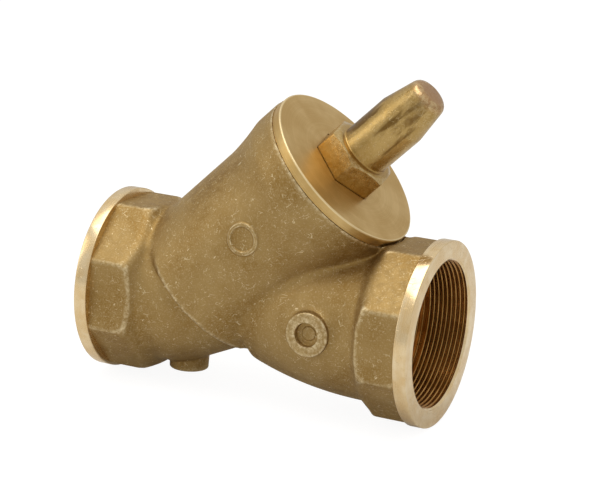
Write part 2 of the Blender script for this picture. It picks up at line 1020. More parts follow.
@dataclass
class Forging:
    """The body's forged skin with its bored inside: run, branch, octagons, bosses and ring mark."""

    length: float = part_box("body")[1].x
    ring_width: float = 6.7 * MM
    octagon_flats: float = 84.6 * MM
    octagon_end: float = 26.7 * MM
    shoulder: float = 7.0 * MM
    pipe_radius: float = 38.0 * MM
    pipe_bore: float = 32.6 * MM
    sleeve_radius: float = 40.2 * MM
    taper_start: float = 36.0 * MM
    taper_round: float = 40.0 * MM
    taper_angle: float = math.radians(24.5)
    taper_end: float = 84.0 * MM
    outlet_radius: float = 39.0 * MM
    outlet_arc: float = 185.0 * MM
    outlet_start: float = 84.5 * MM
    wall: float = 5.4 * MM
    branch_radius: float = 41.8 * MM
    branch_start: float = 6.8 * MM
    edge_round: float = 1.2 * MM
    flare_start: float = 65.0 * MM
    flare_sweep: float = 1.5
    collar_radius: float = 45.1 * MM
    collar_start: float = 88.0 * MM
    collar_top: float = 101.55 * MM
    chamber_radius: float = 36.3 * MM
    chamber_floor: float = 20.0 * MM
    collar_bore: float = 42.6 * MM
    collar_bore_start: float = 82.5 * MM
    partition: float = 9.0 * MM
    seat_floor: float = 12.0 * MM
    seat_radius: float = 29.5 * MM
    seat_bore: float = 25.8 * MM
    cap_sweep: float = 45.5 * MM
    boss_height: float = 41.8 * MM
    boss_root: float = 28.0 * MM
    boss_edge: float = 0.9 * MM
    boss_inset: float = 0.5 * MM
    boss_dome: float = 0.08 * MM
    bottom_boss: tuple[float, float] = (43.2 * MM, 10.0 * MM)
    side_boss: tuple[float, float] = (126.3 * MM, 11.0 * MM)
    recess_radius: float = 5.9 * MM
    recess_depth: float = 3.0 * MM
    recess_mark: float = 3.6 * MM
    mark_place: float = 58.7 * MM
    mark_radius: float = 8.2 * MM
    mark_line: float = 2.0 * MM
    mark_raise: float = 0.75 * MM
    rib_radius: float = 2.6 * MM
    rib_reach: float = 29.0 * MM
    voxel: float = 0.97 * MM
    overlap: float = 2.0 * MM
    hollow_angle: float = math.radians(9)
    fillet_limit: float = 4.0 * MM
    octagon_fillet: float = 3.2 * MM
    boss_fillet: float = 2.4 * MM
    foot_fillet: float = 0.9 * MM
    open_fillet: float = 3.4 * MM
    fillet_passes: int = 24
    skin_passes: int = 3
    mark_margin: float = 2.0 * MM
    mark_sink: float = 0.10 * MM
    steps: int = WIDE_STEPS
    arc_points: int = 12

    def inlet_outline(self, inset: float) -> Profile:
        """Draws the inlet's taper, moved in by an inset.

        Args:
            inset: The inset.

        Returns:
            The profile.
        """
        points: Profile = []
        for i in range(self.arc_points + 1):
            angle = self.taper_angle * i / self.arc_points
            drop = self.taper_round * (1 - math.cos(angle))
            height = self.taper_start + self.taper_round * math.sin(angle)
            points.append((self.pipe_radius - drop - inset, height))
        radius, height = points[-1]
        points.append((radius - (self.taper_end - height) * math.tan(self.taper_angle), self.taper_end))
        return points

    def outlet_radius_at(self, height: float) -> float:
        """Gives the outer radius of the outlet's long arc at a height along the run.

        Args:
            height: The height.

        Returns:
            The radius.
        """
        back = max(0.0, self.length - self.octagon_end - self.shoulder - height)
        return self.outlet_radius - self.outlet_arc + math.sqrt(self.outlet_arc**2 - back**2)

    def outlet_outline(self, inset: float) -> Profile:
        """Draws the outlet's arc from its narrow start to the octagon, moved in by an inset.

        Args:
            inset: The inset.

        Returns:
            The profile.
        """
        end = self.length - self.octagon_end - self.shoulder
        span = end - self.outlet_start
        heights = [self.outlet_start + span * i / self.arc_points for i in range(self.arc_points + 1)]
        return [(self.outlet_radius_at(height) - inset, height) for height in heights]

    def branch_bar(self) -> bmesh.types.BMesh:
        """Makes the branch with its rounded foot and its flared collar.

        Returns:
            The branch, in the row frame.
        """
        above = self.collar_top + self.overlap
        points: Profile = [(0, above), (self.collar_radius, above)]
        for i in range(self.arc_points + 1):
            share = 1 - i / self.arc_points
            rise = (self.collar_radius - self.branch_radius) * share**self.flare_sweep
            height = self.flare_start + (self.collar_start - self.flare_start) * share
            points.append((self.branch_radius + rise, height))
        foot = [
            (*points[-1], 0.0),
            (self.branch_radius, self.branch_start, self.edge_round),
            (0.0, self.branch_start, 0.0),
        ]
        points += rounded(foot)[1:]
        return placed(turned(points, self.steps), BRANCH.place)

    def pipes(self) -> list[bmesh.types.BMesh]:
        """Makes the inlet's and the outlet's outer shapes.

        Returns:
            Both, in the row frame.
        """
        inlet = [(0, self.taper_end), *reversed(self.inlet_outline(0))]
        inlet += [(self.pipe_radius, self.ring_width), (0, self.ring_width)]
        outlet = [(0, self.length - self.ring_width), (self.outlet_radius, self.length - self.ring_width)]
        outlet += [*reversed(self.outlet_outline(0)), (0, self.outlet_start)]
        return [placed(turned(points, self.steps), RUN.place) for points in (inlet, outlet)]

    def octagon(self, near: float, inward: int) -> bmesh.types.BMesh:
        """Makes one octagon with its shoulder.

        Args:
            near: The place of that end's face on the run.
            inward: 1 at the inlet and -1 at the outlet.

        Returns:
            The octagon, in the row frame.
        """
        corner = self.octagon_flats / 2 / math.cos(math.pi / 8)
        start, end, root = self.overlap, self.octagon_end, self.octagon_end + self.shoulder
        low, high = sorted((near + inward * start, near + inward * (root + self.overlap)))
        envelope = [
            (0, start - self.overlap, 0.0),
            (corner + self.overlap, start - self.overlap, 0.0),
            (corner + self.overlap, end - self.overlap * 1.6, 0.0),
            (corner - 1.2 * MM, end, 2.0 * MM),
            (self.pipe_radius - self.overlap, root, 0.0),
            (0, root, 0.0),
        ]
        points = [(radius, near + inward * height) for radius, height in rounded(envelope)]
        bar = prism(8, self.octagon_flats, low, high, math.pi / 8)
        return placed(combined(bar, (Cut.KEEP, turned(points, self.steps))), RUN.place)

    def boss_place(self, centre: float, turn: float) -> Matrix:
        """Gives the place of a boss whose local Z leaves the run at a point, turned about X.

        Args:
            centre: The place on the run.
            turn: The turn, in radians.

        Returns:
            The matrix.
        """
        return Matrix.Translation((centre, 0, 0)) @ Matrix.Rotation(turn, 4, "X")

    def bosses(self, inset: float = 0.0) -> list[bmesh.types.BMesh]:
        """Makes the two blind bosses, with their draft.

        Args:
            inset: How far their faces are set in, for the core that the skin's fillets grow from.

        Returns:
            The bosses, in the row frame.
        """
        shapes = []
        for (centre, radius), turn in ((self.bottom_boss, math.pi), (self.side_boss, math.pi / 2)):
            face = self.boss_height - 2 * inset
            corners = [
                (0, face + self.boss_dome, 0.0),
                (self.recess_radius + 0.9 * MM, face + self.boss_dome, 0.0),
                (radius - 2 * self.boss_edge, face + self.boss_dome / 2, 0.0),
                (radius - inset, face, self.boss_edge),
                (radius - inset + 0.5 * MM, self.boss_root, 0.0),
                (0, self.boss_root, 0.0),
            ]
            shapes.append(placed(turned(rounded(corners), ROUND_STEPS), self.boss_place(centre, turn)))
        return shapes

    def valley(self) -> list[Vector]:
        """Finds the line where the branch meets the outlet, from one flank over the top to the other.

        Returns:
            Its points in the row frame.
        """
        tilt = math.sqrt(2)
        crossing = BRANCH.place.translation.x
        points = []
        for i in range(-self.arc_points, self.arc_points + 1):
            side = self.rib_reach * i / self.arc_points
            low, high = crossing, self.length - self.octagon_end
            for _ in range(30):
                middle = (low + high) / 2
                under_branch = middle - crossing - tilt * math.sqrt(self.branch_radius**2 - side**2)
                over_outlet = math.sqrt(max(0.0, self.outlet_radius_at(middle) ** 2 - side**2))
                low, high = (middle, high) if under_branch < over_outlet else (low, middle)
            points.append(Vector((low, side, over_outlet)))
        return points

    def rib(self) -> bmesh.types.BMesh:
        """Makes the small round rib that lies along the valley.

        Returns:
            The rib, in the row frame.
        """
        path = self.valley()
        shape = bmesh.new()
        rings = []
        for i, point in enumerate(path):
            ahead = (path[min(i + 1, len(path) - 1)] - path[max(i - 1, 0)]).normalized()
            ease = 1 - (abs(i - self.arc_points) / self.arc_points) ** 3
            place = Matrix.Translation(point) @ ahead.to_track_quat("Z", "Y").to_matrix().to_4x4()
            radius = self.rib_radius * (0.25 + 0.75 * ease)
            made = bmesh.ops.create_circle(shape, segments=16, radius=radius, cap_ends=False, matrix=place)
            ring = {edge for vert in made["verts"] for edge in vert.link_edges}
            rings.append(list(ring))
        for first, second in zip(rings, rings[1:]):
            bmesh.ops.bridge_loops(shape, edges=first + second)
        for ring in (rings[0], rings[-1]):
            bmesh.ops.edgeloop_fill(shape, edges=ring)
        bmesh.ops.recalc_face_normals(shape, faces=shape.faces)
        return shape

    def fillet_at(self, point: Vector) -> float:
        """Gives how far a hollow corner's fillet reaches from its line, by where it is.

        Args:
            point: The point in the row frame.

        Returns:
            The reach.
        """
        ring = point.x if point.x < self.length / 2 else self.length - point.x
        on_branch = BRANCH.local(point)
        if ring < self.octagon_end + 1.6 * self.shoulder and point.z < self.pipe_radius * 1.1:
            return self.octagon_fillet
        near_bosses = ((self.side_boss, Vector((0, 0, 1))), (self.bottom_boss, Vector((0, 1, 0))))
        for (centre, radius), across in near_bosses:
            flat = Vector((point.x - centre, point @ across))
            outward = -point.y if across.z else -point.z
            if outward > self.boss_root and flat.length < radius + 3 * MM:
                return self.boss_fillet
        if on_branch.z < 2.2 * self.branch_start and on_branch.x < self.branch_radius * 0.9:
            return self.foot_fillet
        return self.open_fillet

    def skin(self) -> bmesh.types.BMesh:
        """Fuses the forged shapes and rounds their corners as a die does.

        Returns:
            The skin, still solid inside.
        """
        parts = gathered(
            self.branch_bar(),
            *self.pipes(),
            self.octagon(0, 1),
            self.octagon(self.length, -1),
            *self.bosses(self.boss_inset),
            self.rib(),
        )
        obj = scratch_object(parts)
        fuse = obj.modifiers.new("fuse", "REMESH")
        fuse.mode = "VOXEL"
        fuse.voxel_size = self.voxel
        shape = evaluated(obj)
        smoothed(shape, shape.verts, 1)
        hollow = [edge for edge in shape.edges if edge.calc_face_angle_signed(0.0) < -self.hollow_angle]
        tree = KDTree(len(hollow))
        for i, edge in enumerate(hollow):
            tree.insert((edge.verts[0].co + edge.verts[1].co) / 2, i)
        tree.balance()
        eased = []
        for vert in shape.verts:
            line, _, distance = tree.find(vert.co)
            if distance < self.fillet_limit and distance < self.fillet_at(line):
                eased.append(vert)
        smoothed(shape, eased, self.fillet_passes)
        smoothed(shape, shape.verts, self.skin_passes)
        self.raise_mark(shape)
        return shape

    def raise_mark(self, shape: bmesh.types.BMesh) -> None:
        """Raises the plain ring on the branch's near flank.

        Args:
            shape: The skin, which gets finer faces there.
        """
        centre = BRANCH.place @ Vector((0, 0, self.mark_place))

        def away(point: Vector) -> float:
            """Gives how far a point on the near side is from the mark's line.

            Args:
                point: The point in the row frame.

            Returns:
                The distance, or infinity on the far side.
            """
            offset = point - centre
            return Vector((offset.x, offset.z)).length if offset.y < 0 else math.inf

        near = [edge for edge in shape.edges if away(edge.verts[0].co) < self.mark_radius + self.mark_margin]
        bmesh.ops.subdivide_edges(shape, edges=near, cuts=2, use_grid_fill=True)
        middle = self.mark_radius - self.mark_line / 2
        for vert in shape.verts:
            off = away(vert.co)
            if off < self.mark_radius + self.mark_margin:
                share = (self.mark_line * 0.75 - abs(off - middle)) / (self.mark_line * 0.4)
                ramp = min(1.0, max(0.0, share))
                vert.co.y -= self.mark_raise * ramp * ramp * (3 - 2 * ramp)
                if off < middle:
                    vert.co.y += self.mark_sink * min(1.0, (middle - off) / self.mark_line)

    def hollows(self) -> list[bmesh.types.BMesh]:
        """Makes the solids that bore the inside and clear the cap.

        Returns:
            The solids, in the row frame.
        """
        far = self.octagon_end - 0.5 * MM
        inlet = [(0, -self.overlap), (self.sleeve_radius, -self.overlap), (self.sleeve_radius, far)]
        inlet += [(self.pipe_bore, far), *self.inlet_outline(self.wall), (0, self.taper_end)]
        outlet = [(0, self.length + self.overlap), (self.sleeve_radius, self.length + self.overlap)]
        outlet.append((self.sleeve_radius, self.length - far))
        outlet.append((self.outlet_radius - self.wall, self.length - far))
        outlet += [*reversed(self.outlet_outline(self.wall)), (0, self.outlet_start)]
        inlet_bore = placed(turned(inlet, ROUND_STEPS), RUN.place)
        reach = self.length
        beyond = bmesh.new()
        above = Matrix.Translation((0, 0, self.partition + reach))
        bmesh.ops.create_cube(beyond, size=2 * reach, matrix=above)
        inlet_bore = combined(inlet_bore, (Cut.REMOVE, placed(beyond, BRANCH.place)))
        chamber = rounded(
            [
                (0, self.collar_top + self.overlap, 0.0),
                (self.collar_bore, self.collar_top + self.overlap, 0.0),
                (self.collar_bore, self.collar_bore_start, 0.0),
                (self.chamber_radius, self.collar_bore_start, 0.0),
                (self.chamber_radius, self.chamber_floor, 1.0 * MM),
                (self.seat_radius, self.chamber_floor, 0.4 * MM),
                (self.seat_radius, self.seat_floor, 0.5 * MM),
                (self.seat_bore, self.seat_floor, 0.3 * MM),
                (self.seat_bore, self.partition - self.overlap, 0.0),
                (0, self.partition - self.overlap, 0.0),
            ]
        )
        sweep = [
            (0, reach),
            (self.cap_sweep, reach),
            (self.cap_sweep, self.collar_top),
            (0, self.collar_top),
        ]
        bores = [inlet_bore, placed(turned(outlet, ROUND_STEPS), RUN.place)]
        bores += [placed(turned(points, ROUND_STEPS), BRANCH.place) for points in (chamber, sweep)]
        recess = rounded(
            [
                (0, self.boss_height + self.overlap, 0.0),
                (self.recess_radius + 0.3 * MM, self.boss_height + self.overlap, 0.0),
                (self.recess_radius, self.boss_height - self.recess_depth, 0.8 * MM),
                (self.recess_mark + 0.35 * MM, self.boss_height - self.recess_depth, 0.12 * MM),
                (self.recess_mark, self.boss_height - self.recess_depth - 0.3 * MM, 0.12 * MM),
                (self.recess_mark - 0.35 * MM, self.boss_height - self.recess_depth, 0.12 * MM),
                (0, self.boss_height - self.recess_depth, 0.0),
            ]
        )
        for (centre, _), turn in ((self.bottom_boss, math.pi), (self.side_boss, math.pi / 2)):
            bores.append(placed(turned(recess, SMALL_STEPS), self.boss_place(centre, turn)))
        return bores

    def inside(self, point: Vector) -> int:
        """Tells the bored inside from the forged outside, as the number of the finish.

        Args:
            point: The middle of a face.

        Returns:
            1 inside and 0 outside.
        """
        local = BRANCH.local(point)
        in_branch = local.xy.length < self.chamber_radius + 0.3 * MM and local.z > self.seat_floor - 4 * MM
        in_run = Vector((point.y, point.z)).length
        ends = min(point.x, self.length - point.x) < self.octagon_end
        if in_branch or (ends and in_run < self.sleeve_radius + 0.2 * MM):
            return 1
        if point.x < self.length / 2:
            outer = self.pipe_radius if point.x < self.taper_start else self.inlet_radius_at(point.x)
        else:
            outer = self.outlet_radius_at(point.x)
        return 1 if in_run < outer - self.wall / 2 and local.z < self.collar_start else 0

    def inlet_radius_at(self, height: float) -> float:
        """Gives the outer radius of the inlet's taper at a place along the run.

        Args:
            height: The place.

        Returns:
            The radius.
        """
        points = self.inlet_outline(0)
        return float(np.interp(height, [h for _, h in points], [r for r, _ in points]))

    def build(self) -> None:
        """Builds and dresses the forging."""
        shape = combined(
            self.skin(),
            *((Cut.JOIN, boss) for boss in self.bosses()),
            *((Cut.REMOVE, bore) for bore in self.hollows()),
        )
        obj = finished(
            shape, "body_forging", "root", (FORGED, BORE_BRASS), ("body",), self.inside
        )
        mark_wear(obj.data, spread=4)


def mark_wear(mesh: bpy.types.Mesh, spread: int) -> None:
    """Writes how much each point of a mesh stands out of, or lies under, the points around it.

    Args:
        mesh: The mesh, which gets the attribute.
        spread: How many times the measure is spread to its neighbours.
    """
    count = len(mesh.vertices)
    places = np.zeros(count * 3, np.float32)
    normals = np.zeros(count * 3, np.float32)
    ends = np.zeros(len(mesh.edges) * 2, np.int32)
    mesh.vertices.foreach_get("co", places)
    mesh.vertex_normals.foreach_get("vector", normals)
    mesh.edges.foreach_get("vertices", ends)
    places, normals, ends = places.reshape(-1, 3), normals.reshape(-1, 3), ends.reshape(-1, 2)
    a, b = np.concatenate([ends[:, 0], ends[:, 1]]), np.concatenate([ends[:, 1], ends[:, 0]])
    number = np.maximum(np.bincount(a, minlength=count), 1)
    along = places[b] - places[a]
    length = np.maximum(np.linalg.norm(along, axis=1), 1e-7)
    rise = -np.einsum("ij,ij->i", along, normals[a]) / length
    wear = np.bincount(a, weights=rise, minlength=count) / number
    for _ in range(spread):
        wear = 0.4 * wear + 0.6 * np.bincount(a, weights=wear[b], minlength=count) / number
    attribute = mesh.attributes.new(WEAR, "FLOAT", "POINT")
    attribute.data.foreach_set("value", (wear * 4).astype(np.float32))


@dataclass
class ThreadedEnd:
    """One end connection: the machined ring and the threaded socket inside it."""

    name: str
    near: float
    inward: int
    ring_radius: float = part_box("body")[1].y
    ring_width: float = 6.7 * MM
    ring_edge: float = 0.45 * MM
    socket_radius: float = 37.592 * MM
    sleeve_radius: float = 40.5 * MM
    sleeve_end: float = 26.6 * MM
    relief_start: float = 22.0 * MM
    relief_end: float = 25.0 * MM
    relief_radius: float = 38.3 * MM
    bore: float = 32.5 * MM
    mouth: float = 0.7 * MM
    steps: int = 192

    def along(self, profile: Profile) -> Profile:
        """Counts a profile's heights from this end's face, into the body.

        Args:
            profile: The profile.

        Returns:
            The moved profile.
        """
        return [(radius, self.near + self.inward * height) for radius, height in profile]

    def build(self) -> None:
        """Builds and dresses the ring and its socket."""
        minor = self.socket_radius - PIPE_THREAD_DEPTH
        section = rounded(
            [
                (minor - 0.5 * MM, 0.0, 0.0),
                (self.ring_radius, 0.0, self.ring_edge),
                (self.ring_radius, self.ring_width, self.ring_edge),
                (self.sleeve_radius, self.ring_width, 0.0),
                (self.sleeve_radius, self.sleeve_end, 0.0),
                (self.bore, self.sleeve_end, 0.0),
                (self.bore, self.relief_end, 0.3 * MM),
                (minor - 0.5 * MM, self.relief_end, 0.0),
            ],
            closed=True,
        )
        ring = turned(self.along(section), self.steps, closed=True)
        low, high = sorted((self.near - self.inward * 2 * MM, self.near + self.inward * self.relief_start))
        tap = threaded(self.socket_radius, PIPE_THREAD_DEPTH, PIPE_PITCH, low, high, ROUND_STEPS)
        mouth = [
            (0, -1.0 * MM),
            (self.socket_radius + self.mouth, -1.0 * MM),
            (self.socket_radius + self.mouth - 0.5 * MM, 0.0),
            (minor, self.mouth * 1.3),
            (0, self.mouth * 1.3),
        ]
        relief = rounded(
            [
                (0, self.relief_start - 0.6 * MM, 0.0),
                (minor, self.relief_start - 0.6 * MM, 0.0),
                (self.relief_radius, self.relief_start + 0.4 * MM, 0.2 * MM),
                (self.relief_radius, self.relief_end, 0.5 * MM),
                (0, self.relief_end, 0.0),
            ]
        )
        shape = combined(
            ring,
            (Cut.REMOVE, tap),
            (Cut.REMOVE, turned(self.along(mouth), ROUND_STEPS)),
            (Cut.REMOVE, turned(self.along(relief), ROUND_STEPS)),
        )
        placed(shape, RUN.place)
        finishes = (RING_BRASS, THREAD_BRASS)
        finished(shape, self.name, "root", finishes, paint=self.paint)

    def paint(self, point: Vector) -> int:
        """Tells the socket's thread from the bright ring, as the number of the finish.

        Args:
            point: The middle of a face.

        Returns:
            1 in the socket and 0 on the ring.
        """
        depth = abs(point.x - self.near)
        radius = Vector((point.y, point.z)).length
        return 1 if depth > 0.9 * MM and radius < self.relief_radius + 0.5 * MM else 0


@dataclass
class CollarThread:
    """The machined top of the branch: its face, the gasket's counterbore and the thread for the cap.

    Its helix is 0.818 mm out of phase with the cap's, so the two threads overlap when the cap is screwed in.
    """

    top: float = 101.6 * MM
    outer: float = 44.2 * MM
    foot: float = 82.2 * MM
    sleeve: float = 42.9 * MM
    gasket_radius: float = 41.5 * MM
    gasket_floor: float = 99.3 * MM
    thread_root: float = 37.9 * MM
    thread_depth: float = 1.25 * MM
    chamber_radius: float = 36.3 * MM
    thread_foot: float = 84.2 * MM

    def build(self) -> None:
        """Builds and dresses the collar's machined inside."""
        section = rounded(
            [
                (self.gasket_radius, self.top, 0.25 * MM),
                (self.outer, self.top, 0.1 * MM),
                (self.outer, self.top - 2 * MM, 0.0),
                (self.sleeve, self.top - 2 * MM, 0.0),
                (self.sleeve, self.foot, 0.0),
                (self.chamber_radius, self.foot, 0.0),
                (self.chamber_radius, self.gasket_floor, 0.4 * MM),
                (self.gasket_radius, self.gasket_floor, 0.2 * MM),
            ],
            closed=True,
        )
        high = self.gasket_floor + 1 * MM
        tap = threaded(self.thread_root, self.thread_depth, PIPE_PITCH, self.thread_foot, high, ROUND_STEPS)
        shape = combined(turned(section, WIDE_STEPS, closed=True), (Cut.REMOVE, tap))
        placed(shape, BRANCH.place)
        finished(shape, "collar_thread", "root", (CAP_THREAD,))


# The cap


@dataclass
class Cap:
    """The screwed cap: flange, hexagon, blind nose and threaded skirt, turned and drilled from one piece."""

    radius: float = 44.4 * MM
    under: float = 101.9 * MM
    flange: float = 4.8 * MM
    face_crown: float = 0.03 * MM
    lip: float = 0.2 * MM
    lip_width: float = 1.4 * MM
    edge: float = 0.55 * MM
    thread_radius: float = 37.5 * MM
    thread_depth: float = 1.25 * MM
    skirt_end: float = 87.2 * MM
    recess_radius: float = 31.0 * MM
    crown: float = 7.2 * MM
    hexagon_flats: float = 34.2 * MM
    hexagon_height: float = 13.2 * MM
    hexagon_turn: float = math.radians(12.0)
    hexagon_round: float = 0.7 * MM
    relief: float = 0.5 * MM
    nose_radius: float = 13.4 * MM
    nose_straight: float = 38.5 * MM
    tip_radius: float = 9.6 * MM
    tip_round: float = 4.2 * MM
    nose_length: float = 59.3 * MM
    pocket_radius: float = 9.4 * MM
    pocket_depth: float = 42.0 * MM
    rod_seat_radius: float = 15.2 * MM
    rod_seat_depth: float = 4.0 * MM
    steps: int = 192

    @property
    def top(self) -> float:
        """The height of the flange's upper face.

        Returns:
            The height on the branch axis.
        """
        return self.under + self.flange

    def hexagon(self) -> bmesh.types.BMesh:
        """Makes the hexagon with rounded corners and a rounded slope on top.

        Returns:
            The hexagon, beside the branch axis.
        """
        low, high = self.top - 1.5 * MM, self.top + self.hexagon_height
        bar = prism(6, self.hexagon_flats, low, high, self.hexagon_turn)
        uprights = [edge for edge in bar.edges if abs(edge.verts[0].co.z - edge.verts[1].co.z) > 1 * MM]
        bmesh.ops.bevel(
            bar,
            geom=uprights,
            offset=self.hexagon_round,
            affect="EDGES",
            segments=3,
            profile=0.5,
            material=-1,
        )
        flat = self.hexagon_flats / 2
        slope = [
            (0, high, 0.0),
            (flat - 1.4 * MM, high, 3.5 * MM),
            (flat + 3.4 * MM, high - 2.5 * MM, 0.0),
            (flat + 3.4 * MM, low - 1 * MM, 0.0),
            (0, low - 1 * MM, 0.0),
        ]
        return combined(bar, (Cut.KEEP, turned(rounded(slope, pieces=6), ROUND_STEPS)))

    def blank(self) -> bmesh.types.BMesh:
        """Makes the turned outside: nose, flange and skirt core.

        Returns:
            The blank, beside the branch axis.
        """
        core = self.thread_radius - self.thread_depth
        corners = [
            (0, self.top + self.nose_length, 0.0),
            (self.tip_radius, self.top + self.nose_length, self.tip_round),
            (self.nose_radius, self.top + self.nose_straight, 8.0 * MM),
            (self.nose_radius, self.top + self.hexagon_height, 0.9 * MM),
            (self.nose_radius + 2.2 * MM, self.top + self.hexagon_height - 0.1 * MM, 0.0),
            (self.nose_radius + 2.2 * MM, self.top + 1.6 * MM, 0.0),
            (self.nose_radius + 2.2 * MM, self.top + self.face_crown, 0.0),
            (self.hexagon_flats / 2 + 5.0 * MM, self.top + self.face_crown, 0.0),
            (self.radius - 2 * self.edge, self.top + self.face_crown / 2, 0.0),
            (self.radius, self.top, self.edge),
            (self.radius, self.under - self.lip, 0.15 * MM),
            (self.radius - self.lip_width, self.under - self.lip, 0.0),
            (self.radius - self.lip_width, self.under, 0.0),
            (core, self.under, 0.3 * MM),
            (core, self.skirt_end, 0.6 * MM),
            (0, self.skirt_end, 0.0),
        ]
        return turned(rounded(corners, pieces=5), self.steps)

    def pocket(self) -> bmesh.types.BMesh:
        """Makes the recess for the screen, the magnet rod's seat and its pocket, as one solid to cut with.

        Returns:
            The solid, beside the branch axis.
        """
        roof = self.top - self.crown
        seat = roof + self.rod_seat_depth
        corners = [
            (0, self.top + self.pocket_depth + 2 * MM, 0.0),
            (self.pocket_radius, self.top + self.pocket_depth, 0.0),
            (self.pocket_radius, seat, 0.3 * MM),
            (self.rod_seat_radius, seat, 0.3 * MM),
            (self.rod_seat_radius, roof, 0.3 * MM),
            (self.recess_radius, roof, 1.0 * MM),
            (self.recess_radius, self.skirt_end - 1 * MM, 0.0),
            (0, self.skirt_end - 1 * MM, 0.0),
        ]
        return turned(rounded(corners), ROUND_STEPS)

    def paint(self, point: Vector) -> int:
        """Gives the number of the finish: turned flange, threaded skirt, hexagon or nose.

        Args:
            point: The middle of a face.

        Returns:
            The number.
        """
        local = BRANCH.local(point)
        if local.z < self.under - 0.1 * MM:
            return 1
        if local.z > self.top + self.hexagon_height + 0.9 * MM:
            return 3
        return 2 if local.z > self.top + 0.25 * MM and local.xy.length < self.radius / 2 else 0

    def build(self) -> None:
        """Builds and dresses the cap."""
        low, high = self.skirt_end + 0.8 * MM, self.under - 1.6 * MM
        thread = threaded(self.thread_radius, self.thread_depth, PIPE_PITCH, low, high, ROUND_STEPS)
        flats = self.hexagon_flats + 2 * self.relief
        line = prism(6, flats, self.top - self.relief, self.top + self.relief, self.hexagon_turn)
        shape = combined(
            self.blank(),
            (Cut.REMOVE, line),
            (Cut.JOIN, self.hexagon()),
            (Cut.JOIN, thread),
            (Cut.REMOVE, self.pocket()),
        )
        placed(shape, BRANCH.place)
        finishes = (CAP_BRASS, CAP_THREAD, HEXAGON_BRASS, NOSE_BRASS)
        obj = finished(shape, "screwed_cap", "cap", finishes, ("cap",), self.paint)
        mark_wear(obj.data, spread=1)


@dataclass
class Gasket:
    """The flat ring under the cap's flange."""

    inner: float = 38.6 * MM
    outer: float = 41.2 * MM
    low: float = 99.6 * MM
    high: float = 101.6 * MM
    edge: float = 0.35 * MM

    def build(self) -> None:
        """Builds and dresses the gasket."""
        corners = [
            (self.outer, self.high, self.edge),
            (self.outer, self.low, self.edge),
            (self.inner, self.low, self.edge),
            (self.inner, self.high, self.edge),
        ]
        shape = placed(turned(rounded(corners, closed=True), RING_STEPS, closed=True), BRANCH.place)
        finished(shape, "flange_gasket", "gasket", (FIBRE,), ("cap_gasket",))


# The screen


